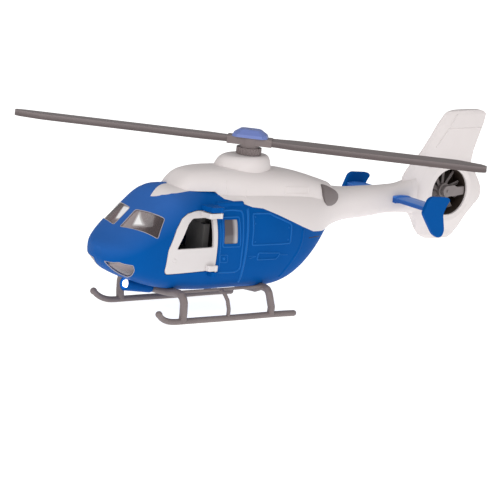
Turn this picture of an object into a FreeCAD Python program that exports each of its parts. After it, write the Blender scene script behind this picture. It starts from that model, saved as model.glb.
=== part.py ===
import FreeCAD, Part
import math
import os
from FreeCAD import Vector as V, Placement, Rotation

# Toy rescue helicopter. All lengths in mm. X runs to the nose, Y to the port side, Z up, floor at Z = 0.
# Sub-parts are designed about the mast axis (x = 0) and moved by MAST_X when they are written.

NOSE_X = 120.5          # front end of the nose, ahead of the mast axis
TAIL_X = -213.0         # rear end of the tail duct
MAST_X = -(NOSE_X + TAIL_X) / 2.0   # mast axis in the row frame, so that the length is centred on X = 0
WALL = 1.8              # wall of the moulded shells
ROTOR_R = 159.0         # rotor radius
ROTOR_Z = 113.9         # height of the rotor plane
BLADE_AZ = -45.3        # direction in which the blades were left standing
BLADE_CHORD, BLADE_THICK, BLADE_PITCH = 13.5, 3.9, 3.0
SKID_Y = 33.0           # half the skid track
SKID_R = 2.05
HINGE_X, HINGE_Y = 48.0, 34.4       # cockpit door hinge axis
PIN_R, PIN_GAP = 0.8, 0.07
FAN_X, FAN_Z = -179.6, 72.4         # tail duct centre
FAN_R = 15.3
BOOM_SEAM_X = -128.0    # joint between tail boom and tail unit

# Fuselage stations: x, half-width, bottom, height of greatest width, top
FUSELAGE = [
    (120.5, 4.0, 41.5, 45.0, 48.0), (119.2, 10.0, 38.8, 45.0, 50.2), (116.3, 16.5, 35.6, 45.0, 53.0),
    (112.0, 21.5, 32.3, 45.0, 56.6), (106.0, 25.8, 29.0, 45.0, 61.8), (99.0, 28.9, 26.0, 45.0, 68.0),
    (91.0, 30.6, 23.3, 45.0, 75.0), (83.5, 31.5, 21.3, 45.0, 81.6), (77.0, 31.9, 20.0, 45.0, 86.2),
    (70.0, 32.1, 18.9, 45.0, 87.4), (60.0, 32.2, 17.9, 45.0, 87.3), (40.0, 32.2, 17.0, 45.0, 87.2),
    (10.0, 32.0, 17.0, 45.0, 87.0), (-10.0, 31.4, 16.9, 46.0, 86.3), (-25.0, 29.6, 19.6, 48.0, 85.5),
    (-38.0, 26.5, 26.4, 50.5, 84.6),
    (-48.0, 22.8, 34.4, 53.0, 83.8), (-57.0, 18.4, 42.6, 57.0, 82.8), (-63.5, 14.8, 48.8, 61.0, 81.8),
    (-70.0, 12.0, 52.2, 64.0, 80.8), (-80.0, 9.8, 55.3, 66.5, 79.3)]
# Upper cowling stations: x, half-width, top
COWL = [(70.0, 9.0, 86.2), (65.0, 12.0, 89.0), (60.0, 14.4, 93.2), (55.0, 16.0, 96.0), (48.0, 17.2, 97.6),
        (30.0, 19.5, 98.2), (8.0, 20.5, 97.2), (-14.0, 20.5, 95.8), (-32.0, 19.5, 93.6), (-50.0, 17.0, 89.6),
        (-66.0, 13.5, 84.8), (-79.0, 9.4, 80.4)]
COWL_BASE = 76.0
# Line in the side view where the blue body ends and the white upper shell starts: x, z
COLOUR_LINE = [(-90, 53.5), (-55, 53.8), (-43, 55.2), (-30, 59.8), (-7, 69.0), (5, 73.4), (14, 74.6), (20, 76.6),
               (30, 79.0), (35.5, 80.2), (41, 84.6), (60, 85.0), (75.6, 84.2), (80.7, 82.8), (82.8, 81.6),
               (84.8, 80.4), (96, 79)]
DOOR = [(46.4, 35.0), (46.1, 52.0), (46.6, 74.0), (62.0, 74.3), (70.1, 72.8), (75.4, 70.0), (80.2, 63.6),
        (86.6, 50.0), (87.8, 36.4), (86.0, 33.6)]
DOOR_WINDOW = [(49.2, 50.3), (50.0, 69.9), (66.6, 69.9), (70.8, 66.4), (80.2, 50.3)]
REAR_WINDOW = [(28.6, 51.9), (28.8, 67.7), (40.2, 68.0), (40.4, 52.2)]
EXHAUST = [(-53.8, 85.0), (-55.2, 77.7), (-58.6, 72.2), (-61.5, 69.6), (-66.5, 69.2), (-70.5, 70.8), (-72.6, 73.6),
           (-72.0, 77.0), (-68.0, 80.0), (-62.0, 82.8), (-57.5, 84.4)]
ENDPLATE = [(-128.5, 77.0), (-131.7, 78.6), (-145.8, 77.6), (-148.3, 75.5), (-145.5, 71.8), (-142.9, 66.3),
            (-145.5, 54.4), (-144.0, 50.6), (-140.0, 49.7), (-135.3, 52.5), (-128.7, 61.4), (-124.4, 67.5)]
# Front glazing on the port side, corners x, y, z on the skin
WINDSCREEN = [(95.0, 3.2, 72.0), (87.0, 24.0, 69.9), (94.6, 28.2, 57.6), (106.6, 3.2, 60.8)]
CHIN = [(119.0, 5.5, 39.2), (115.7, 16.8, 40.3), (108.3, 23.0, 39.8), (106.8, 22.6, 36.2), (105.5, 18.5, 31.8),
        (104.6, 13.0, 29.2), (108.5, 9.5, 31.0), (114.5, 7.5, 35.5)]
# Plan view of the blue roof ahead of the pointed white front fairing: x, y
NOTCH = [(130, -60), (92, -60), (90, -22), (84.5, -14.5), (66.5, -11.5), (64.5, -6.0), (66.8, -1.2), (84.9, 4.3), (90, 12),
         (92, 60), (130, 60)]
FIN = [(39.2, -188.0, -167.0, 3.0), (42.0, -191.5, -161.0, 3.9), (46.5, -194.5, -157.8, 4.6),
       (53.0, -197.5, -155.0, 5.2), (57.5, -201.5, -150.5, 5.4), (60.5, -206.0, -143.4, 5.6), (63.5, -210.0, -142.0, 5.7),
       (66.5, -212.3, -141.0, 5.8), (70.0, TAIL_X, -140.6, 5.8), (74.0, -212.4, -140.4, 5.8), (79.0, -209.8, -140.5, 5.7),
       (83.5, -206.6, -141.2, 5.5), (88.0, -203.4, -144.0, 5.1), (92.0, -201.2, -147.6, 4.8), (100.0, -202.8, -155.6, 4.2),
       (110.0, -206.4, -162.6, 3.7), (119.0, -209.9, -168.4, 3.2), (125.5, -211.4, -173.6, 2.7),
       (127.4, -209.0, -176.0, 2.3), (128.4, -205.0, -180.0, 2.0)]
SHROUD = [(-150, 58.5), (-146, 66), (-145, 78), (-150, 90), (-198, 90), (-205.5, 82.5), (-210.5, 76), (-212, 70),
          (-210.5, 65), (-206.0, 60.5), (-201.5, 57.5), (-197.5, 53), (-194, 45), (-188.5, 40.2), (-181, 39.2),
          (-172, 39.2), (-162.5, 41), (-158, 46), (-155, 53), (-151.5, 56.5)]


def poly_face(points):
    return Part.Face(Part.makePolygon(points + [points[0]]))


def side_prism(outline, y0, y1):
    """Side-view outline (x, z) pulled from y0 to y1."""
    return poly_face([V(x, y0, z) for x, z in outline]).extrude(V(0, y1 - y0, 0))


def tilted_prism(corners, reach):
    """Prism through corners, pulled both ways along the mean normal of the outline."""
    pts = [V(*c) for c in corners]
    mid = sum(pts, V()) * (1.0 / len(pts))
    normal = V()
    for a, b in zip(pts, pts[1:] + pts[:1]):
        normal += (a - mid).cross(b - mid)
    normal.normalize()
    flat = [p - normal * (p - mid).dot(normal) for p in pts]
    return poly_face([p - normal * reach for p in flat]).extrude(normal * (2 * reach))


def grown(points, amount):
    """Outline corners moved out from their centre by amount (2-D or 3-D)."""
    n = len(points)
    mid = [sum(p[i] for p in points) / n for i in range(len(points[0]))]
    out = []
    for p in points:
        d = math.sqrt(sum((a - b) ** 2 for a, b in zip(p, mid)))
        out.append(tuple(a + (a - b) * amount / d for a, b in zip(p, mid)))
    return out


def rounded(points, r):
    """Closed outline (2-D or 3-D corners) with every corner eased over the distance r."""
    out, n = [], len(points)
    for i, p in enumerate(points):
        a, b = points[i - 1], points[(i + 1) % n]
        la, lb = math.dist(a, p), math.dist(b, p)
        k = min(r, 0.45 * la, 0.45 * lb)
        pa = [c + (d - c) * k / la for c, d in zip(p, a)]
        pb = [c + (d - c) * k / lb for c, d in zip(p, b)]
        for t in (0.0, 1 / 3, 2 / 3, 1.0):
            out.append(tuple((1 - t) ** 2 * u + 2 * t * (1 - t) * c + t * t * v for u, c, v in zip(pa, p, pb)))
    return out


def egg(x, w, zb, zc, zt, n_low=2.9, n_top=2.5, count=24):
    """Closed smooth section in the plane X = x, starting at the top."""
    pts = []
    for i in range(count):
        a = 2 * math.pi * i / count
        c, s = math.cos(a), math.sin(a)
        n = n_top if c >= 0 else n_low
        h = (zt - zc) if c >= 0 else (zc - zb)
        pts.append(V(x, w * math.copysign(abs(s) ** (2 / n), s), zc + h * math.copysign(abs(c) ** (2 / n), c)))
    curve = Part.BSplineCurve()
    curve.interpolate(pts, PeriodicFlag=True)
    return Part.Wire([curve.toShape()])


def body_loft(inset):
    """Fuselage envelope moved in by inset."""
    wires = []
    for x, w, zb, zc, zt in FUSELAGE:
        if inset and (w - inset < 3 or x > NOSE_X - inset - 1):
            continue
        k = inset * (1.0 + 1.2 * max(0.0, (x - 95.0) / 25.0))
        wires.append(egg(x - (0.0 if x < 80 else 0.0), w - k, zb + k, zc, zt - k))
    return Part.makeLoft(wires, True, False)


def cowl_loft(inset):
    wires = []
    for x, w, zt in COWL:
        wires.append(egg(x, w - inset, COWL_BASE - 12 + inset, COWL_BASE, zt - inset, 3.0, 3.2))
    return Part.makeLoft(wires, True, False)


def box(x0, x1, y0, y1, z0, z1):
    return Part.makeBox(x1 - x0, y1 - y0, z1 - z0, V(x0, y0, z0))


def cyl(p, axis, r, length):
    return Part.makeCylinder(r, length, V(*p), V(*axis))


def tube_along(points, r):
    """Round bar through points with mitred-round corners."""
    solid = None
    for a, b in zip(points, points[1:]):
        d = V(*b) - V(*a)
        piece = Part.makeCylinder(r, d.Length, V(*a), d)
        solid = piece if solid is None else solid.fuse(piece)
    for p in points[1:-1]:
        solid = solid.fuse(Part.makeSphere(r, V(*p)))
    return solid


def smooth_bar(points, r):
    """Round bar swept along a smooth curve through points."""
    pts = [V(*p) for p in points]
    curve = Part.BSplineCurve()
    curve.interpolate(pts)
    path = Part.Wire([curve.toShape()])
    start = curve.tangent(curve.FirstParameter)[0]
    ring = Part.Wire([Part.makeCircle(r, pts[0], start)])
    return path.makePipeShell([ring], True, True)


def mirrored(shape):
    return shape.mirror(V(0, 0, 0), V(0, 1, 0))


def above_line():
    """Everything above the colour line, less the blue notch in the roof."""
    notch = poly_face([V(x, y, 70) for x, y in NOTCH]).extrude(V(0, 0, 60))
    return side_prism(COLOUR_LINE + [(96, 150), (-90, 150)], -60, 60).cut(notch)


PARTS = {}


def add(name, shape):
    if shape.ShapeType == "Compound" and len(shape.Solids) == 1:
        shape = shape.Solids[0]
    PARTS[name] = shape


def add_pair(name, shape):
    add(name + "_left", shape)
    add(name + "_right", mirrored(shape))


def lug(z0, z1, back, length, r):
    """Block round the door hinge axis, reaching from the skin to just outside the pin."""
    outline = rounded([(HINGE_X - back, 20.0), (HINGE_X - back, HINGE_Y + 0.9), (HINGE_X + length, HINGE_Y + 0.9),
                       (HINGE_X + length + 1.5, 20.0)], 1.3)
    block = poly_face([V(x, y, z0) for x, y in outline]).extrude(V(0, 0, z1 - z0))
    return block.fuse(cyl((HINGE_X, HINGE_Y, z0), (0, 0, 1), r, z1 - z0))


def build_body():
    outer = body_loft(0.0)
    cavity = body_loft(WALL)
    shell = outer.cut(cavity)
    half = box(-120, 130, 0, 60, 0, 150)
    upper = above_line()
    left = shell.common(half).cut(box(-120, -66.5, -60, 60, 0, 150))
    # openings: cockpit door, rear window, windscreen, chin window, belly switch slot
    door_line, window_line = rounded(DOOR, 1.3), rounded(DOOR_WINDOW, 1.4)
    rear_line, screen, chin = rounded(REAR_WINDOW, 1.2), rounded(WINDSCREEN, 1.6), rounded(CHIN, 1.2)
    left = left.cut(side_prism(grown(door_line, 0.5), 15, 50))
    left = left.cut(side_prism(rear_line, 15, 50))
    left = left.cut(tilted_prism(screen, 9)).cut(tilted_prism(chin, 6))
    bosses = lug(74.4, 77.8, 1.4, 8.0, 1.8).fuse(lug(31.2, 34.3, 0.6, 3.0, 1.7)).cut(outer)
    hole = cyl((HINGE_X, HINGE_Y, 73.9), (0, 0, 1), PIN_R + PIN_GAP, 3.2).fuse(
        cyl((HINGE_X, HINGE_Y, 31.7), (0, 0, 1), PIN_R + PIN_GAP, 3.2))
    left = left.fuse(bosses).cut(hole)
    left = left.cut(box(-12, -3.0, -3, 3, 10, 30))
    add("fuselage_left", left.cut(upper))
    add("fuselage_right", mirrored(left).cut(upper))
    # door, same skin, with its two hinge tabs and pins
    door = shell.common(side_prism(grown(door_line, -0.05), 15, 50)).cut(side_prism(window_line, 15, 50))
    for z0, z1, length, pin0, pin1 in [(70.4, 73.8, 9.5, 73.2, 76.8), (35.0, 38.6, 6.0, 32.0, 35.6)]:
        door = door.fuse(lug(z0, z1, 0.4, length, 1.5))
        door = door.fuse(cyl((HINGE_X, HINGE_Y, pin0), (0, 0, 1), PIN_R, pin1 - pin0))
    door = door.cut(cavity)
    assert len(door.Solids) == 1, len(door.Solids)
    add_pair("cockpit_door", door)
    # glazing: one thin layer inside the skin line
    glass = body_loft(0.5).cut(body_loft(WALL - 0.1))
    add_pair("windscreen", glass.common(tilted_prism(grown(screen, -0.03), 8)))
    add_pair("chin_window", glass.common(tilted_prism(grown(chin, -0.03), 5)))
    add_pair("rear_window", glass.common(side_prism(grown(rear_line, -0.03), 15, 50)))
    return outer, cavity


def exhaust_pocket():
    """Room for the exhaust outlet of the port side in the upper shell and the boom."""
    return side_prism(rounded(EXHAUST, 1.5), 7.6, 30)


def build_upper(outer, cavity):
    cowl_out, cowl_in = cowl_loft(0.0), cowl_loft(WALL)
    skin = outer.fuse(cowl_out).cut(cavity).cut(cowl_in)
    upper = skin.common(above_line()).cut(box(-120, -66.5, -60, 60, 0, 150))
    upper = upper.cut(cyl((0, 0, 80), (0, 0, 1), 4.2, 40))
    upper = upper.cut(exhaust_pocket()).cut(mirrored(exhaust_pocket()))
    add("cowling", max(upper.Solids, key=lambda s: s.Volume))
    # mast pedestal on top of the cowling
    def oval(z, cx, a, b):
        e = Part.Ellipse(V(cx, 0, z), a, b)
        return Part.Wire([e.toShape()])
    ped = Part.makeLoft([oval(90, 4.5, 24.0, 15.0), oval(98, 4.5, 22.0, 13.6), oval(102.6, 3.6, 19.5, 12.2),
                         oval(104.6, 2.6, 15.5, 10.0)], True, False)
    ped = ped.cut(cowl_out).cut(cyl((0, 0, 80), (0, 0, 1), 3.06, 40))
    add("mast_pedestal", max(ped.Solids, key=lambda s: s.Volume))


def build_boom():
    stations = [(-66.5, 13.0, 50.5, 62.5, 81.3), (-74, 10.9, 53.6, 65.0, 80.2), (-84, 9.5, 56.0, 67.0, 78.9),
                (-100, 8.9, 57.2, 68.0, 78.3), (-115, 8.4, 58.4, 68.5, 78.3), (BOOM_SEAM_X, 8.0, 59.2, 69.0, 78.6)]
    outer = Part.makeLoft([egg(*s) for s in stations], True, False)
    inner = Part.makeLoft([egg(x, w - WALL, zb + WALL, zc, zt - WALL) for x, w, zb, zc, zt in stations], True, False)
    skin = outer.cut(inner).cut(exhaust_pocket())
    left = skin.common(box(-140, -60, 0, 60, 0, 150))
    add_pair("tail_boom", max(left.Solids, key=lambda s: s.Volume))


def build_tail():
    def lens(z, x0, x1, t):
        n = 14
        pts = []
        for i in range(n + 1):
            u = i / n
            bend = min(1.0, u / 0.9 if u < 0.45 else 0.5 + (u - 0.45) / 1.35)
            pts.append(V(x1 + (x0 - x1) * u, t * math.sin(math.pi * bend) ** 0.6 + 0.35, z))
        lower = [V(p.x, -p.y, p.z) for p in reversed(pts)]
        return Part.Wire([*Part.makePolygon(pts + lower + [pts[0]]).Edges])
    fin = Part.makeLoft([lens(*s) for s in FIN], True, True)
    shroud = side_prism(rounded(SHROUD, 2.5), -7.4, 7.4)
    # slimmer away from the duct: keep the part of the plate inside a flattened cone round the fan axis
    stub = Part.makeLoft([egg(x, w, zb, zc, zt) for x, w, zb, zc, zt in
                          [(BOOM_SEAM_X, 8.0, 59.2, 69.0, 78.6), (-138, 7.7, 59.0, 69.2, 79.4), (-150, 7.2, 57.5, 70.0, 84.0)]],
                         True, False)
    cone = Part.makeCone(36, 20, 6.6, V(FAN_X, 0.8, FAN_Z), V(0, 1, 0))
    cone = cone.fuse(mirrored(cone)).fuse(cyl((FAN_X, -0.8, FAN_Z), (0, 1, 0), 36, 1.6))
    unit = fin.fuse(shroud.common(cone)).fuse(stub).cut(box(BOOM_SEAM_X, 0, -60, 60, 0, 150))
    unit = unit.cut(cyl((FAN_X, -20, FAN_Z), (0, 1, 0), FAN_R + 0.8, 40))
    hollow = side_prism([(-130, 62), (-130, 76), (-150, 80), (-150, 62)], -4.0, 4.0)
    unit = unit.cut(hollow).removeSplitter()
    add_pair("tail_unit", unit.common(box(-260, -100, 0, 60, 0, 150)))


def build_tail_fan():
    fan = cyl((FAN_X, -3.2, FAN_Z), (0, 1, 0), 5.2, 5.7)
    for i in range(10):
        blade = box(-1.75, 1.75, -0.55, 0.55, 4.6, FAN_R - 0.25)
        blade = blade.rotated(V(0, 0, 0), V(0, 0, 1), 38)
        blade = blade.rotated(V(0, 0, 0), V(0, 1, 0), 36 * i).translated(V(FAN_X, -0.6, FAN_Z))
        fan = fan.fuse(blade)
    fan = fan.cut(cyl((FAN_X, -20, FAN_Z), (0, 1, 0), 1.06, 40))
    add("tail_fan", fan)
    # stator: round hub with spindle and one broad arm running aft on the port side
    arm = [(0.5, 3.7), (-6.4, 4.1), (-8.6, 2.7), (-16.5, 2.9), (-16.5, -2.5), (-6.5, -3.6), (0.5, -3.7)]
    arm = side_prism([(FAN_X + x, FAN_Z + z) for x, z in rounded(arm, 0.8)], 3.0, 5.2)
    stator = cyl((FAN_X, 3.0, FAN_Z), (0, 1, 0), 3.9, 2.8).fuse(arm).fuse(cyl((FAN_X, -4.4, FAN_Z), (0, 1, 0), 1.0, 11.0))
    keep = cyl((FAN_X, -20, FAN_Z), (0, 1, 0), FAN_R + 0.29, 40)
    stator = stator.fuse(cyl((FAN_X, -5.4, FAN_Z), (0, 1, 0), 2.2, 1.1))
    add("tail_stator", stator.common(keep))
    liner = cyl((FAN_X, -6.4, FAN_Z), (0, 1, 0), FAN_R + 0.8, 12.4)
    add("tail_duct_liner", liner.cut(cyl((FAN_X, -5.5, FAN_Z), (0, 1, 0), FAN_R + 0.3, 20)))


def build_stabiliser():
    outline = rounded([(-127, 68.4), (-127, 71.4), (-134, 71.8), (-142.6, 71.0), (-142.6, 69.8), (-134, 68.2)], 0.6)
    root = rounded([(-127, 67.4), (-127, 72.2), (-134, 72.6), (-141, 71.8), (-141, 68.6), (-134, 67.2)], 0.8)
    bar = side_prism(outline, 4, 40.3).fuse(side_prism(root, 4, 10.4)).cut(PARTS["tail_boom_left"]).cut(PARTS["tail_unit_left"])
    add_pair("stabiliser", max(bar.Solids, key=lambda s: s.Volume))
    plate = side_prism(rounded(ENDPLATE, 2.0), 40.3, 42.7)
    add_pair("endplate", plate)


def build_gear():
    for side, name in ((1, "left"), (-1, "right")):
        y = side * SKID_Y
        bar = smooth_bar([(-25.6, y, SKID_R), (20, y, SKID_R), (72, y, SKID_R), (80, y, SKID_R + 0.3),
                          (87, y * 1.015, 4.3), (92.4, y * 1.05, 8.4)], SKID_R)
        bar = bar.fuse(Part.makeSphere(SKID_R, V(-25.6, y, SKID_R)))
        bar = bar.fuse(Part.makeSphere(SKID_R + 0.35, V(92.4, y * 1.05, 8.3)))
        bar = bar.cut(box(-60, 120, -60, 60, -5, 0.12)).translated(V(0, 0, -0.12))
        add("skid_" + name, bar)
        # thin belly rail and middle brace
        rail = smooth_bar([(72, side * 26.5, 20.2), (35, side * 26.5, 20.0), (-2, side * 26.5, 20.2)], 1.0)
        brace = tube_along([(35, side * 26.5, 20.0), (34.4, side * 30.0, 18.4), (33.2, side * 32.8, 14.0),
                            (32, side * 33.6, 8.0), (31.5, y, 1.6)], 1.35)
        PARTS["brace_" + name] = (rail, brace, bar)
    skids = PARTS["skid_left"].fuse(PARTS["skid_right"])
    for name, x_top, x_foot, r, belly in (("front_crossbar", 71.4, 70.4, 2.7, 17.0), ("rear_crossbar", -2.5, -5.4, 2.5, 15.5)):
        path = [(x_foot, SKID_Y, 2.0), (x_foot + 0.3, SKID_Y + 0.5, 7.5), (x_top - 0.3, SKID_Y + 0.5, 14.2),
                (x_top, SKID_Y - 0.4, 17.0), (x_top, SKID_Y - 2.4, 18.8), (x_top, SKID_Y - 5.4, 19.5),
                (x_top, SKID_Y - 9.0, 19.4), (x_top, 18.0, belly + 1.3), (x_top, 0.0, belly)]
        path = path + [(x, -y, z) for x, y, z in reversed(path[:-1])]
        bar = tube_along(path, r).cut(skids)
        add(name, max(bar.Solids, key=lambda s: s.Volume))
    bars = PARTS["front_crossbar"].fuse(PARTS["rear_crossbar"])
    for side in ("left", "right"):
        rail, brace, skid = PARTS.pop("brace_" + side)
        piece = rail.fuse(brace).cut(bars).cut(skid)
        add("brace_" + side, max(piece.Solids, key=lambda s: s.Volume))


def build_rotor():
    shaft = cyl((0, 0, 62.0), (0, 0, 1), 3.0, 49.0)
    add("rotor_shaft", shaft)
    collar = cyl((0, 0, 104.9), (0, 0, 1), 8.0, 4.5)
    for i in range(24):
        a = 2 * math.pi * i / 24
        collar = collar.fuse(cyl((8.0 * math.cos(a), 8.0 * math.sin(a), 104.9), (0, 0, 1), 0.5, 4.5))
    add("rotor_collar", collar.cut(cyl((0, 0, 100), (0, 0, 1), 3.0, 20)))
    root, tip, half = 10.0, ROTOR_R, BLADE_CHORD / 2
    plan = [(root, -4.4), (root + 9, -4.9), (root + 20, -half), (tip - 6, -half * 0.93), (tip - 0.8, -half * 0.70),
            (tip, -half * 0.25), (tip - 3.5, half * 0.30), (tip - 20, half), (root + 20, half), (root + 9, 4.9), (root, 4.4)]
    outline = [V(x, y, 0) for x, y in rounded(plan, 2.2)]
    blade = poly_face(outline).extrude(V(0, 0, BLADE_THICK)).translated(V(0, 0, -BLADE_THICK / 2))
    blade = blade.rotated(V(0, 0, 0), V(1, 0, 0), BLADE_PITCH).translated(V(0, 0, ROTOR_Z))
    hub = cyl((0, 0, 109.4), (0, 0, 1), 6.4, 7.0).fuse(box(-15, 15, -5.2, 5.2, ROTOR_Z - 2.6, ROTOR_Z + 2.5))
    hub = hub.cut(cyl((0, 0, 100), (0, 0, 1), 3.0, 11.0)).cut(blade).cut(blade.rotated(V(0, 0, 0), V(0, 0, 1), 180))
    add("rotor_hub", hub.rotated(V(0, 0, 0), V(0, 0, 1), BLADE_AZ))
    for index, turn in ((1, BLADE_AZ), (2, BLADE_AZ + 180)):
        add("rotor_blade_%d" % index, blade.rotated(V(0, 0, 0), V(0, 0, 1), turn))
    def pad(z, a, b, c):
        return Part.makePolygon([V(a, -b + c, z), V(a, b - c, z), V(a - c, b, z), V(-a + c, b, z), V(-a, b - c, z),
                                 V(-a, -b + c, z), V(-a + c, -b, z), V(a - c, -b, z), V(a, -b + c, z)])
    cap = Part.makeLoft([pad(116.4, 12.0, 7.6, 3.2), pad(118.4, 11.3, 7.2, 3.0), pad(121.6, 6.8, 4.4, 1.8)], True, True)
    cap = cap.cut(cyl((0, 0, 120.6), (0, 0, 1), 2.0, 3))
    add("rotor_cap", cap.rotated(V(0, 0, 0), V(0, 0, 1), BLADE_AZ))
    add("cap_screw", cyl((0, 0, 120.6), (0, 0, 1), 1.9, 0.8).cut(box(-0.3, 0.3, -1.5, 1.5, 121.0, 122)))
    motor = cyl((0, 0, 46.0), (0, 0, 1), 10.0, 26.0).cut(cyl((0, 0, 61.0), (0, 0, 1), 3.06, 20))
    add("rotor_motor", motor)
    bracket = box(-12, 11, -40, 40, 72.0, 73.8).common(body_loft(WALL + 0.05))
    add("motor_bracket", bracket.cut(cyl((0, 0, 70), (0, 0, 1), 3.5, 10)))


def build_nose_light():
    pod = cyl((95.5, 0, 21.4), (-1, 0, -0.12), 4.7, 21).fuse(Part.makeSphere(4.7, V(74.7, 0, 18.9)))
    pod = pod.fuse(box(76, 93, -3.2, 3.2, 19, 28)).cut(cyl((91.5, 0, 20.92), (1, 0, 0.12), 3.8, 10))
    pod = pod.cut(body_loft(0.0)).cut(PARTS["front_crossbar"])
    add("searchlight_pod", max(pod.Solids, key=lambda s: s.Volume))
    lamp = cyl((91.55, 0, 20.93), (1, 0, 0.12), 2.5, 4.6)
    rim = max(lamp.Edges, key=lambda e: e.CenterOfMass.x)
    lamp = lamp.makeFillet(1.9, [rim])
    add("searchlight_lamp", lamp)


def build_exhausts():
    """Bulged outlet filling its pocket, with a short bore in its rear end."""
    bulge = Part.makeLoft([egg(-50, 17.6, 64, 77, 90), egg(-60, 16.3, 64, 76.5, 89), egg(-70, 14.0, 64, 76, 87.5),
                           egg(-76, 12.0, 64, 76, 86.5)], True, False)
    outlet = bulge.common(exhaust_pocket()).cut(cyl((-76, 10.4, 74.6), (1, 0.1, 0), 2.0, 8))
    add_pair("exhaust", max(outlet.Solids, key=lambda s: s.Volume))


def build_cabin(cavity):
    inner = body_loft(WALL + 0.05)
    floor = box(-20, 108, -40, 40, 27.0, 28.6).common(inner)
    add("cabin_floor", floor)
    bulkhead = box(12.5, 14.1, -40, 40, 28.6, 71.8).common(inner)
    add("rear_bulkhead", bulkhead)
    seat = box(50, 66, 5.5, 22.5, 36, 40.5).fuse(box(46.5, 51.5, 5.5, 22.5, 36, 64)).fuse(
        box(47, 51, 9.5, 18.5, 64, 70)).fuse(box(50, 64, 8.5, 19.5, 28.6, 36))
    add_pair("pilot_seat", seat)
    add("rear_bench", box(19, 33, -22, 22, 28.6, 40).fuse(box(14.1, 19, -22, 22, 28.6, 62)))
    console = box(86, 94, -17, 17, 28.6, 51).fuse(box(76, 86, -3.5, 3.5, 28.6, 40)).common(inner)
    add("instrument_panel", console)
    stick = cyl((74, 14, 28.6), (0.1, 0, 1), 0.8, 15).fuse(Part.makeSphere(1.5, V(75.5, 14, 44.0)))
    add_pair("control_stick", stick)


def build_power():
    case = box(-20, 1.0, -13, 13, 28.6, 44).cut(box(-18.5, -0.5, -11.5, 11.5, 30.3, 44.0))
    add("battery_box", case)
    for i in range(3):
        add("button_cell_%d" % (i + 1), cyl((-17.8 + 5.6 * i, 0, 36.0), (1, 0, 0), 5.6, 5.4))
    add("switch_slider", box(-10.4, -6.6, -1.6, 1.6, 16.0, 19.6).fuse(box(-11.8, -4.2, -4.6, 4.6, 19.3, 20.6)))
    add("switch_body", box(-16, 0, -5.4, 5.4, 20.9, 26.8))
    screws = [(28, 12), (28, -12), (-15, 12), (-15, -12)]
    for i, (x, y) in enumerate(screws):
        add("belly_screw_%d" % (i + 1), cyl((x, y, 16.9), (0, 0, 1), 1.9, 10.1))


def finish_belly():
    """Sink the belly screws and rails into matching holes of the body halves."""
    tools = [PARTS["belly_screw_%d" % (i + 1)] for i in range(4)]
    tools += [PARTS["front_crossbar"], PARTS["rear_crossbar"], PARTS["brace_left"], PARTS["brace_right"],
              PARTS["searchlight_pod"]]
    for side in ("left", "right"):
        shape = PARTS["fuselage_" + side]
        for tool in tools:
            shape = shape.cut(tool)
        PARTS["fuselage_" + side] = max(shape.Solids, key=lambda s: s.Volume)


outer, cavity = build_body()
build_upper(outer, cavity)
build_boom()
build_tail()
build_tail_fan()
build_stabiliser()
build_gear()
build_rotor()
build_nose_light()
build_exhausts()
build_cabin(cavity)
build_power()
finish_belly()

os.makedirs("parts", exist_ok=True)
for old in os.listdir("parts"):
    os.remove(os.path.join("parts", old))
for name, shape in PARTS.items():
    moved = shape.translated(V(MAST_X, 0, 0))
    moved.exportStep("parts/%s.step" % name)
    b = moved.BoundBox
    print("%-20s solids %d valid %s  x %.1f..%.1f y %.1f..%.1f z %.1f..%.1f vol %.0f" % (
        name, len(moved.Solids), moved.isValid(), b.XMin, b.XMax, b.YMin, b.YMax, b.ZMin, b.ZMax, moved.Volume))
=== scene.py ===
import bpy, bmesh, math
from mathutils import Vector, Matrix
from mathutils.bvhtree import BVHTree


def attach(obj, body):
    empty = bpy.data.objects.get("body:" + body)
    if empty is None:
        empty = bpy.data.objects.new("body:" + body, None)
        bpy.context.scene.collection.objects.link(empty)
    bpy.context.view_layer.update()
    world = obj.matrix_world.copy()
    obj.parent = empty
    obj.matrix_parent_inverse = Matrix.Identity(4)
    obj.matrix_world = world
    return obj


# Looks of the toy helicopter: materials for the CAD nodes, low raised details on them, studio and camera.
# Raised details are placed in mm from the mast axis, as (x, z) seen from the side or as (x, y, z); +y is the
# port side. Distances in the materials are in mm from the origin of the row frame.
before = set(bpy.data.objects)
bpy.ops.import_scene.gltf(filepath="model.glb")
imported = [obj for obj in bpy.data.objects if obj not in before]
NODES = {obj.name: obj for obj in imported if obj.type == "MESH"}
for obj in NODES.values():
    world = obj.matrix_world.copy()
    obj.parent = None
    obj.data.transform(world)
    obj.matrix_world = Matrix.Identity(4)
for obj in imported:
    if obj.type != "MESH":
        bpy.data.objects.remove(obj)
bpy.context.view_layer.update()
MM = 0.001
MAST = Vector((46.25, 0.0, 0.0)) * MM     # mast axis in the row frame
ROTOR_Z = 113.9                           # height of the rotor plane, mm


# ---------------------------------------------------------------- shader nodes
def new_mat(name):
    m = bpy.data.materials.new(name)
    m.use_nodes = True
    nt = m.node_tree
    return m, nt, nt.nodes["Principled BSDF"]


def object_coords(nt):
    return nt.nodes.new("ShaderNodeTexCoord").outputs["Object"]


def noise(nt, coords, scale, detail=2.0):
    node = nt.nodes.new("ShaderNodeTexNoise")
    node.inputs["Scale"].default_value = scale
    node.inputs["Detail"].default_value = detail
    nt.links.new(coords, node.inputs["Vector"])
    return node.outputs["Fac"]


def mix(nt, factor, low, high):
    """Colour low where the factor is 0 and high where it is 1; each is a colour or an output."""
    node = nt.nodes.new("ShaderNodeMix")
    node.data_type = "RGBA"
    nt.links.new(factor, node.inputs[0])
    for socket, value in ((node.inputs[6], low), (node.inputs[7], high)):
        if isinstance(value, tuple):
            socket.default_value = (*value, 1)
        else:
            nt.links.new(value, socket)
    return node.outputs[2]


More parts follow.
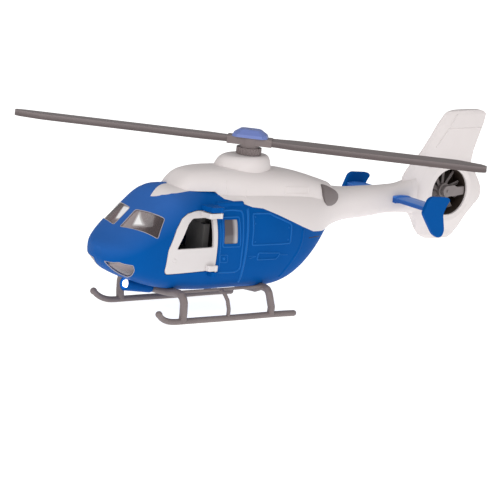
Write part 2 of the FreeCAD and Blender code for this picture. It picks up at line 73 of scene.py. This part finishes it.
def remap(nt, value, lo, hi, to_lo=0.0, to_hi=1.0):
    """Value from lo..hi to to_lo..to_hi, held at the ends."""
    node = nt.nodes.new("ShaderNodeMapRange")
    for key, number in (("From Min", lo), ("From Max", hi), ("To Min", to_lo), ("To Max", to_hi)):
        node.inputs[key].default_value = number
    nt.links.new(value, node.inputs["Value"])
    return node.outputs["Result"]


def calc(nt, operation, *values):
    """A maths node; each value is a number or an output."""
    node = nt.nodes.new("ShaderNodeMath")
    node.operation = operation
    for socket, value in zip(node.inputs, values):
        if isinstance(value, float):
            socket.default_value = value
        else:
            nt.links.new(value, socket)
    return node.outputs["Value"]


def reach(nt, coords, direction):
    """How far each point lies from the frame's origin along a direction, in mm."""
    node = nt.nodes.new("ShaderNodeVectorMath")
    node.operation = "DOT_PRODUCT"
    node.inputs[1].default_value = tuple(c / MM for c in direction)
    nt.links.new(coords, node.inputs[0])
    return node.outputs["Value"]


# ---------------------------------------------------------------- materials
ROUGH_SPREAD = 0.06       # how far the grain moves the roughness either way
BUMP_DEPTH = 0.0002       # depth of the moulding grain, m
END_DRIFT = 0.10          # colour drift at the far end of a fade


def plastic(name, dark, light, rough, spec=0.35, scale=60.0, bump=0.06, grain=900.0, fade=None):
    """Moulded plastic: slow colour drift, fine moulding grain in roughness and bump.
    fade = (direction, lo, hi, colour): towards lo (mm along direction) the plastic turns to colour; the body,
    stabiliser and blades use this for painted sheen and painted shade."""
    m, nt, shader = new_mat(name)
    coords = object_coords(nt)
    drift = noise(nt, coords, scale, 3.0)
    fine = noise(nt, coords, grain)
    colour = mix(nt, drift, dark, light)
    if fade:
        along, lo, hi, end = fade
        part = remap(nt, reach(nt, coords, along), lo, hi)
        ends = mix(nt, drift, tuple(c * (1 - END_DRIFT) for c in end),
                   tuple(c * (1 + END_DRIFT) for c in end))
        colour = mix(nt, part, ends, colour)
    nt.links.new(colour, shader.inputs["Base Color"])
    grainy = remap(nt, fine, 0.0, 1.0, rough - ROUGH_SPREAD, rough + ROUGH_SPREAD)
    nt.links.new(grainy, shader.inputs["Roughness"])
    if bump:
        bumps = nt.nodes.new("ShaderNodeBump")
        bumps.inputs["Strength"].default_value = bump
        bumps.inputs["Distance"].default_value = BUMP_DEPTH
        nt.links.new(fine, bumps.inputs["Height"])
        nt.links.new(bumps.outputs["Normal"], shader.inputs["Normal"])
    shader.inputs["Specular IOR Level"].default_value = spec
    return m


def patch_mask(nt, coords, outline, soft):
    """1 inside a convex (y, z) outline in mm, falling to 0 across its edges over soft mm."""
    cy = sum(p[0] for p in outline) / len(outline)
    cz = sum(p[1] for p in outline) / len(outline)
    result = None
    for p, q in zip(outline, outline[1:] + outline[:1]):
        ny, nz = p[1] - q[1], q[0] - p[0]
        k = math.hypot(ny, nz)
        ny, nz = ny / k, nz / k
        c = -(ny * p[0] + nz * p[1])
        if ny * cy + nz * cz + c < 0:
            ny, nz, c = -ny, -nz, -c
        edge = remap(nt, reach(nt, coords, (0.0, ny, nz)), -c - soft, -c + soft)
        result = calc(nt, "MULTIPLY", result, edge) if result else edge
    return result


PATCH_SOFT = 0.7          # soft edge of a painted reflection, mm
SHINE = (0.85, 0.83725, 0.833)


def glazing(name, dark, light, alpha, rough=0.06, along=(0, 0, 1), lo=0.0, hi=1.0, patches=()):
    """Tinted clear plastic with painted reflections: dark to light along a direction from lo to hi (mm), and
    pale painted reflection patches.
    """
    m, nt, shader = new_mat(name)
    coords = object_coords(nt)
    cloud = noise(nt, coords, 55.0)
    span = hi - lo
    wave = calc(nt, "MULTIPLY_ADD", cloud, span * 0.8, reach(nt, coords, along))
    colour = mix(nt, remap(nt, wave, lo + span * 0.4, hi + span * 0.4), dark, light)
    opacity = None
    for outline in patches:
        mask = patch_mask(nt, coords, outline, PATCH_SOFT)
        colour = mix(nt, mask, colour, SHINE)
        opacity = calc(nt, "MAXIMUM", mask, opacity or alpha)
    nt.links.new(colour, shader.inputs["Base Color"])
    nt.links.new(remap(nt, cloud, 0.0, 1.0, rough * 0.6, rough * 1.5), shader.inputs["Roughness"])
    shader.inputs["Alpha"].default_value = alpha
    if opacity:
        nt.links.new(opacity, shader.inputs["Alpha"])
    shader.inputs["Specular IOR Level"].default_value = 0.8
    return m


def metal(name, colour, rough):
    m = plastic(name, tuple(c * 0.85 for c in colour), colour, rough, 0.5, 200, 0.05, 1500)
    m.node_tree.nodes["Principled BSDF"].inputs["Metallic"].default_value = 1.0
    return m


def glow(mat, colour, strength):
    """Let a material shine; its colour still comes from its own nodes."""
    shader = mat.node_tree.nodes["Principled BSDF"]
    shader.inputs["Emission Color"].default_value = (*colour, 1)
    shader.inputs["Emission Strength"].default_value = strength
    return mat


UP = (0, 0, 1)
# body: painted sheen, paler and more violet high up at the front, over the front of the roof and the upper
# nose, where light glances off the plastic
BLUE = plastic("blue_plastic", (0.026, 0.108, 0.365), (0.034, 0.125, 0.405), 0.50, 0.03, 40,
               fade=((0.6, 0, 1), 139.0, 155.0, (0.0006, 0.075, 0.300)))
# raised lines: a little lighter than the lower body, a painted highlight where the ridges catch the light
EDGE = plastic("blue_edges_highlit", (0.003, 0.100, 0.36), (0.008, 0.122, 0.41), 0.42, 0.10, 60)
# stabiliser: painted sheen, pale on its top face only, where light from above glances off it
STAB = plastic("stabiliser_blue", (0.044, 0.190, 0.60), (0.056, 0.215, 0.66), 0.40, 0.35, 40,
               fade=(UP, 70.6, 71.6, (0.002, 0.075, 0.33)))
CAP = plastic("cap_blue", (0.115, 0.165, 0.42), (0.155, 0.205, 0.47), 0.40, 0.4, 60)
WHITE = plastic("white_plastic", (0.665, 0.612, 0.602), (0.718, 0.664, 0.654), 0.44, 0.33, 35)
DOORW = plastic("door_white", (0.595, 0.558, 0.555), (0.642, 0.604, 0.600), 0.38, 0.35, 35)
GREY = plastic("grey_plastic", (0.160, 0.128, 0.126), (0.205, 0.168, 0.164), 0.46, 0.35, 70, 0.10)
# blades: painted shade, darker towards the lower face, which the lights reach less
BLADE = plastic("blade_grey", (0.158, 0.129, 0.129), (0.184, 0.152, 0.151), 0.46, 0.35, 50, 0.10,
                fade=(UP, ROTOR_Z - 0.5, ROTOR_Z + 1.8, (0.096, 0.074, 0.073)))
FAN = plastic("fan_grey", (0.18, 0.155, 0.153), (0.23, 0.20, 0.197), 0.46, 0.35, 70, 0.10)
EXHAUST = plastic("dark_grey_plastic", (0.150, 0.125, 0.123), (0.205, 0.175, 0.171), 0.5, 0.3, 90, 0.12,
                  fade=((-1, 0, 0.25), 27.5, 31.0, (0.085, 0.068, 0.066)))
DUCT = plastic("duct_dark", (0.012, 0.008, 0.006), (0.045, 0.030, 0.022), 0.5, 0.3, 45)
SEAT = plastic("seat_grey", (0.10, 0.095, 0.092), (0.16, 0.152, 0.148), 0.5, 0.35, 60)
DARK = plastic("dark_interior", (0.006, 0.006, 0.006), (0.014, 0.013, 0.012), 0.55, 0.3, 60)
# window rims: pale grey, a painted glint along the edges of the windows
RIM = plastic("window_rim", (0.27, 0.25, 0.28), (0.37, 0.35, 0.38), 0.25, 0.6, 90)
STEEL = metal("steel", (0.60, 0.60, 0.61), 0.32)
LAMP = glow(plastic("lamp_lens", (0.85, 0.85, 0.82), (0.95, 0.95, 0.93), 0.15, 0.6, 300),
            (1, 0.98, 0.95), 3.0)

# windscreens: tint turning to a pale painted reflection across each pane, with pale painted reflection
# patches
TINT, GLASS_SHEEN = (0.067, 0.049, 0.050), (0.285, 0.214, 0.215)
GLASS_PORT = glazing("windscreen_port", TINT, GLASS_SHEEN, 0.72, along=(0.0, -1.0, -0.15), lo=-34.0, hi=-13.0,
                     patches=[[(7.2, 70.9), (11.0, 63.4), (17.8, 64.6)]])
GLASS_STAR = glazing("windscreen_starboard", TINT, GLASS_SHEEN, 0.72, along=(0.0, 1.0, -0.15), lo=-30.0, hi=-12.0,
                     patches=[[(-10.8, 71.3), (-3.0, 72.0), (-2.4, 64.6), (-7.2, 63.7)]])
# rear window: painted reflection, dark at its front turning light towards its back
REARGLASS = glazing("rear_glazing", (0.10, 0.082, 0.090), (0.46, 0.43, 0.44), 0.85,
                    along=(-1.0, 0.0, 0.0), lo=-79.8, hi=-77.0)
# chin windows: painted reflection, lighter towards the top
CHINGLASS = glazing("chin_glazing", (0.105, 0.080, 0.086), (0.31, 0.245, 0.255), 0.88, 0.14,
                    along=(0.35, 0.0, 1.0), lo=88.0, hi=98.0)

# the first row with a matching start of name gives a node its material; the rest are dark_interior
FINISH = [(("rotor_motor", "cap_screw", "button_cell", "belly_screw"), STEEL),
          (("fuselage", "endplate", "searchlight_pod"), BLUE), (("rotor_cap",), CAP), (("stabiliser",), STAB),
          (("cowling", "mast_pedestal", "tail_boom", "tail_unit"), WHITE), (("cockpit_door",), DOORW),
          (("rotor_blade",), BLADE), (("skid", "front_cross", "rear_cross", "brace", "rotor_"), GREY),
          (("tail_fan", "tail_stator"), FAN), (("exhaust",), EXHAUST), (("tail_duct_liner",), DUCT),
          (("windscreen_left",), GLASS_PORT), (("windscreen_right",), GLASS_STAR), (("chin",), CHINGLASS),
          (("rear_window",), REARGLASS), (("searchlight_lamp",), LAMP), (("pilot_seat", "rear_bench"), SEAT)]


def finish_of(name):
    for heads, mat in FINISH:
        if name.startswith(heads):
            return mat
    return DARK


for name, node in NODES.items():
    node.data.materials.clear()
    node.data.materials.append(finish_of(name))


# ---------------------------------------------------------------- helpers
# (across, up), as fractions of half the width and of the height
RIDGE_PROFILE = [(-0.8, 0.45), (-0.4, 0.9), (0, 1.0), (0.4, 0.9), (0.8, 0.45)]
RIDGE_STEP = 1.0          # spacing of the points along a ridge, mm
RIM_STEP = 0.8
CORNER_SHARE = 0.45       # most of a side that an eased corner may take
CORNER_POINTS = 5         # points round one eased corner
OUTSIDE = 60.0            # a distance to the side that clears the body, mm
OFF_GLASS = 12.0          # where rays towards a window start, mm off it
BODY_MIDDLE = Vector((60, 0, 50))
# (radius, height), as fractions of a dome's own
DOME_RINGS = [(1.0, -0.1), (0.97, 0.35), (0.8, 0.75), (0.45, 0.97)]
DOME_SEGMENTS = 16


def surface(*names):
    """One search tree over CAD nodes, in the row frame."""
    verts, faces = [], []
    for name in names:
        me = NODES[name].data
        mw = NODES[name].matrix_world
        base = len(verts)
        verts += [mw @ v.co for v in me.vertices]
        faces += [tuple(base + i for i in p.vertices) for p in me.polygons]
    return BVHTree.FromPolygons(verts, faces)


def side_name(side):
    return "left" if side > 0 else "right"


def make(name, verts, faces, mat, body="airframe"):
    """A smooth-shaded piece that rides a body."""
    me = bpy.data.meshes.new(name)
    me.from_pydata([tuple(v) for v in verts], [], faces)
    me.validate()
    bm = bmesh.new()
    bm.from_mesh(me)
    bmesh.ops.recalc_face_normals(bm, faces=bm.faces)
    bm.to_mesh(me)
    bm.free()
    me.shade_smooth()
    ob = bpy.data.objects.new(name, me)
    bpy.context.collection.objects.link(ob)
    me.materials.append(mat)
    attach(ob, body)


def eased(points, closed, corner):
    """The points with each corner replaced by a short curve that starts at most corner mm before it."""
    out = []
    n = len(points)
    for i, p in enumerate(points):
        if not closed and i in (0, n - 1):
            out.append(p)
            continue
        a = points[i - 1] - p
        b = points[(i + 1) % n] - p
        r = min(corner, a.length * CORNER_SHARE, b.length * CORNER_SHARE)
        pa, pb = p + a.normalized() * r, p + b.normalized() * r
        for k in range(CORNER_POINTS):
            t = k / (CORNER_POINTS - 1)
            out.append((pa * (1 - t) + p * t) * (1 - t) + (p * (1 - t) + pb * t) * t)
    return out


def dense(points, step, closed, corner):
    """Points about every step mm along a polyline with eased corners."""
    pts = eased([Vector(p) for p in points], closed, corner)
    if closed:
        pts.append(pts[0])
    out = []
    for a, b in zip(pts, pts[1:]):
        k = max(1, int((b - a).length / step))
        out += [a.lerp(b, i / k) for i in range(k)]
    return out if closed else out + [pts[-1]]


def swept(points, normals, width, height, closed, sink=0.12):
    """Low rounded ridge along points on a surface, its foot sunk below the skin; takes mm, gives metres."""
    foot = -sink / height
    prof = [(-1.0, foot)] + RIDGE_PROFILE + [(1.0, foot)]
    verts, faces, n, m = [], [], len(points), len(prof)
    for i, p in enumerate(points):
        a = points[i - 1] if (closed or i) else p
        b = points[(i + 1) % n] if (closed or i < n - 1) else p
        across = (b - a).normalized().cross(normals[i]).normalized()
        for u, v in prof:
            verts.append((p + across * (u * width / 2) + normals[i] * (v * height)) * MM)
    for i in range(n if closed else n - 1):
        for j in range(m - 1):
            a, b = i * m + j, ((i + 1) % n) * m + j
            faces.append((a, b, b + 1, a + 1))
    if not closed:
        faces.append(tuple(range(m)))
        faces.append(tuple((n - 1) * m + j for j in reversed(range(m))))
    return verts, faces


def on_side(tree, pts, side):
    """Drop (x, z) points on to the side of the body; gives points in mm and outward normals."""
    ps, ns = [], []
    for p in pts:
        start = Vector((p[0], side * OUTSIDE, p[1])) * MM + MAST
        hit, nor, _, _ = tree.ray_cast(start, Vector((0, -side, 0)))
        if hit is None:
            continue
        ps.append(hit / MM)
        ns.append(-nor if nor.y * side < 0 else nor)
    return ps, ns


def ridge(name, tree, pts, mat, width, height, closed=False, corner=1.2):
    """Raised line through (x, z) points, on both sides of the body."""
    for side in (1, -1):
        ps, ns = on_side(tree, dense(pts, RIDGE_STEP, closed, corner), side)
        last = len(ps) - 1
        for _ in range(2):    # even the normals out along the line
            ns = [(ns[max(0, i - 1)] + ns[i] * 2 + ns[min(last, i + 1)]).normalized() for i in range(len(ns))]
        verts, faces = swept(ps, ns, width, height, closed)
        make("%s_%s" % (name, side_name(side)), verts, faces, mat)


def window_rim(name, tree, corners, side, width, height, corner, outset):
    """Thin rim round a window given by its corners on the skin; its pale grey paints the glint along the
    window's edge.
    """
    pts = [Vector((x, y * side, z)) for x, y, z in corners]
    mid = sum(pts, Vector()) / len(pts)
    normal = Vector()
    for a, b in zip(pts, pts[1:] + pts[:1]):
        normal += (a - mid).cross(b - mid)
    normal.normalize()
    if normal.dot(mid - BODY_MIDDLE) < 0:
        normal = -normal
    pts = [p + (p - mid).normalized() * outset for p in pts]
    ps, ns = [], []
    for p in dense(pts, RIM_STEP, True, corner):
        hit, nor, _, _ = tree.ray_cast((p + normal * OFF_GLASS) * MM + MAST, -normal)
        if hit is not None:
            ps.append(hit / MM)
            ns.append(nor if nor.dot(normal) > 0 else -nor)
    k = len(ns)
    for _ in range(6):        # the edge of the opening leaves rough normals
        ns = [(ns[i - 1] + ns[i] * 2 + ns[(i + 1) % k]).normalized() for i in range(k)]
    verts, faces = swept(ps, ns, width, height, True, sink=0.3)
    make("%s_%s" % (name, side_name(side)), verts, faces, RIM)


def dome(name, centre, normal, r, h, mat, body="airframe"):
    """Small round head; centre in mm."""
    n = normal.normalized()
    t = n.orthogonal().normalized()
    s = n.cross(t)
    verts, faces, k = [], [], DOME_SEGMENTS
    for rr, hh in DOME_RINGS:
        for i in range(k):
            a = 2 * math.pi * i / k
            verts.append((centre + (t * math.cos(a) + s * math.sin(a)) * r * rr + n * h * hh) * MM)
    verts.append((centre + n * h) * MM)
    for j in range(len(DOME_RINGS) - 1):
        for i in range(k):
            a, b = j * k + i, j * k + (i + 1) % k
            faces.append((a, b, b + k, a + k))
    top = (len(DOME_RINGS) - 1) * k
    for i in range(k):
        faces.append((top + i, top + (i + 1) % k, len(verts) - 1))
    make(name, verts, faces, mat, body)


# ---------------------------------------------------------------- raised details of the body
SIDE = surface("fuselage_left", "fuselage_right", "cowling", "rear_window_left", "rear_window_right")
ridge("rear_door_edge", SIDE,
      [(18.4, 74.0), (20.0, 65.2), (20.8, 54.3), (21.2, 44.4), (22.2, 34.3), (20.8, 24.6)],
      EDGE, width=2.0, height=0.75, corner=6)
ridge("rear_door_frame", SIDE,
      [(41.5, 73.6), (30.6, 73.6), (23.4, 72.6), (24.2, 63.5), (24.4, 53.2), (24.7, 42.0), (24.4, 34.4),
       (28.0, 32.6), (34.8, 32.6), (43.0, 33.0)],
      EDGE, width=1.4, height=0.6, corner=2.5)
ridge("door_header", SIDE, [(44.0, 77.3), (21.4, 77.0)], BLUE, width=4.0, height=1.4)
ridge("rear_window_frame", SIDE, [(41.8, 50.2), (26.4, 49.9), (27.2, 69.3), (41.8, 69.6)],
      EDGE, width=1.1, height=0.5, closed=True, corner=1.6)
ridge("pillar_line", SIDE, [(43.9, 66.0), (43.6, 55.5), (43.6, 45.6), (42.9, 35.5)],
      EDGE, width=0.8, height=0.3)
ridge("latch_frame", SIDE, [(43.0, 45.0), (36.6, 44.7), (36.4, 39.6), (42.8, 40.0)],
      EDGE, width=0.7, height=0.3, closed=True)
ridge("hatch_frame", SIDE,
      [(14.8, 70.6), (0.2, 70.2), (-2.9, 68.6), (-16.7, 63.4), (-18.9, 61.8), (-18.3, 50.3), (-16.6, 49.6),
       (16.3, 50.2)],
      EDGE, width=1.2, height=0.55, closed=True, corner=1.4)
ridge("handle_frame", SIDE, [(9.9, 44.8), (-8.5, 43.7), (-9.3, 42.8), (-6.3, 39.8), (10.8, 40.1)],
      EDGE, width=1.0, height=0.6, closed=True, corner=1.0)
ridge("handle_line_aft", SIDE, [(-9.6, 42.3), (-16.6, 41.9)], EDGE, width=0.6, height=0.3)
ridge("handle_line_fore", SIDE, [(18.5, 42.9), (11.6, 42.5), (17.6, 41.2)],
      EDGE, width=0.6, height=0.3, corner=0.3)
ridge("clamshell_edge", SIDE,
      [(-31.0, 58.0), (-30.4, 51.0), (-28.6, 45.0), (-23.9, 38.8), (-18.8, 32.0), (-15.2, 26.0)],
      BLUE, width=2.6, height=0.5, corner=6)
ridge("clamshell_slit", SIDE, [(-38.0, 51.3), (-44.7, 51.1), (-52.8, 50.6)], DARK, width=0.7, height=0.08)
ridge("cowl_seam", SIDE, [(31.8, 91.0), (32.0, 84.6), (32.8, 80.4)], WHITE, width=0.7, height=0.3)
ridge("cowl_seam_mid", SIDE, [(15.6, 84.7), (16.6, 79.0)], WHITE, width=0.5, height=0.2)
ridge("cowl_panel", SIDE, [(-18.6, 85.4), (-40.8, 83.8), (-40.9, 79.9), (-18.8, 81.2)],
      WHITE, width=0.6, height=0.25, closed=True, corner=0.8)

# (x, z, radius): five rivets of the hatch, and the larger stud in the latch frame
RIVETS = [(-16.2, 60.3, 0.55), (-15.8, 52.2, 0.55), (13.6, 64.3, 0.55), (13.8, 52.4, 0.55),
          (13.2, 68.6, 0.55), (39.7, 42.4, 1.1)]
DOOR_LATCH = (81.3, 43.0)
LATCH_RADIUS = 1.5
HEAD_HEIGHT = 0.4
for side in (1, -1):
    for i, (x, z, r) in enumerate(RIVETS):
        ps, ns = on_side(SIDE, [(x, z)], side)
        dome("hatch_rivet_%d_%s" % (i, side_name(side)), ps[0], ns[0], r, HEAD_HEIGHT, EDGE)
for side in (1, -1):
    door = side_name(side)
    ps, ns = on_side(surface("cockpit_door_" + door), [DOOR_LATCH], side)
    dome("door_latch_" + door, ps[0], ns[0], LATCH_RADIUS, HEAD_HEIGHT, DOORW, door + "_door")

NOSE = surface("fuselage_left", "fuselage_right")
WINDSCREEN = [(95.0, 3.2, 72.0), (87.0, 24.0, 69.9), (94.6, 28.2, 57.6), (106.6, 3.2, 60.8)]
CHIN = [(119.0, 5.5, 39.2), (115.7, 16.8, 40.3), (108.3, 23.0, 39.8), (106.8, 22.6, 36.2),
        (105.5, 18.5, 31.8), (104.6, 13.0, 29.2), (108.5, 9.5, 31.0), (114.5, 7.5, 35.5)]
for side in (1, -1):
    window_rim("windscreen_rim", NOSE, WINDSCREEN, side, width=0.48, height=0.2, corner=1.6, outset=0.2)
    window_rim("chin_rim", NOSE, CHIN, side, width=0.45, height=0.2, corner=1.2, outset=0.2)

FIN = surface("tail_unit_left", "tail_unit_right")
ridge("fin_rib", FIN, [(-183.5, 126.0), (-180.3, 121.6), (-177.4, 116.6), (-172.2, 110.3), (-166.5, 103.5)],
      WHITE, width=0.9, height=0.35, corner=4)
ridge("fin_line", FIN, [(-178.0, 116.2), (-190.8, 116.0), (-207.6, 115.6)], WHITE, width=0.8, height=0.3)
TAIL = surface("tail_boom_left", "tail_boom_right", "tail_unit_left", "tail_unit_right")
ridge("boom_seam", TAIL, [(-145.9, 81.0), (-145.2, 73.2), (-146.0, 66.0)], WHITE, width=0.6, height=0.2)

# ---------------------------------------------------------------- floor, light, camera
VIEW_AZIMUTH, VIEW_ELEVATION, VIEW_ROLL = 0.855390, 0.177618, 0.105414     # radians, about the rotor's middle
VIEW_DISTANCE = 3.35114
AIM_RIGHT, AIM_DOWN = 0.00778, 0.07259    # from the rotor's middle to the middle of the view, m
LENS, SENSOR = 362.6, 36.0                # mm
FLOOR_GLOW, WORLD_LIGHT = 0.85, 0.42

bpy.ops.mesh.primitive_plane_add(size=30, location=(0, 0, 0))
floor = bpy.context.object
floor.name = "floor"
pale = plastic("floor_pale", (0.70, 0.70, 0.70), (0.73, 0.73, 0.73), 0.9, 0.05, 1.5, 0.0)
floor.data.materials.append(glow(pale, (1, 1, 1), FLOOR_GLOW))

world = bpy.data.worlds.new("studio")
bpy.context.scene.world = world
world.use_nodes = True
world.node_tree.nodes["Background"].inputs["Color"].default_value = (1, 1, 1, 1)
world.node_tree.nodes["Background"].inputs["Strength"].default_value = WORLD_LIGHT

az, el = VIEW_AZIMUTH, VIEW_ELEVATION
# from the rotor's middle: towards the camera, to its right, and up in its view
back = Vector((math.cos(el) * math.cos(az), math.cos(el) * math.sin(az), math.sin(el)))
level = Vector((-math.sin(az), math.cos(az), 0))
rise = Vector((-math.sin(el) * math.cos(az), -math.sin(el) * math.sin(az), math.cos(el)))
rotor = MAST + Vector((0, 0, ROTOR_Z)) * MM


def area(name, offset, size_x, size_y, power):
    """Soft light at an offset from the rotor, facing it."""
    data = bpy.data.lights.new(name, "AREA")
    data.shape = "RECTANGLE"
    data.size, data.size_y, data.energy = size_x, size_y, power
    ob = bpy.data.objects.new(name, data)
    bpy.context.collection.objects.link(ob)
    ob.location = rotor + offset
    ob.rotation_euler = (-offset).to_track_quat("-Z", "Y").to_euler()


area("key", back - level * 0.5 + Vector((0, 0, 0.35)), 0.9, 0.7, 7.0)
area("fill", back * 0.7 + level + Vector((0, 0, 0.1)), 0.8, 0.8, 3.2)
area("top", Vector((0, 0, 1.2)) - back * 0.3, 1.4, 1.4, 1.8)

cam_data = bpy.data.cameras.new("camera")
cam_data.lens = LENS
cam_data.sensor_width = SENSOR
cam_data.clip_end = 50
cam = bpy.data.objects.new("camera", cam_data)
bpy.context.collection.objects.link(cam)
loc = rotor + back * VIEW_DISTANCE
centre = rotor + level * AIM_RIGHT - rise * AIM_DOWN
up = rise * math.cos(VIEW_ROLL) - level * math.sin(VIEW_ROLL)
fwd = (centre - loc).normalized()
r = fwd.cross(up).normalized()
u = r.cross(fwd).normalized()
cam.matrix_world = Matrix(((r.x, u.x, -fwd.x, loc.x), (r.y, u.y, -fwd.y, loc.y), (r.z, u.z, -fwd.z, loc.z),
                           (0, 0, 0, 1)))
bpy.context.scene.camera = cam
bpy.context.scene.view_settings.view_transform = "Standard"
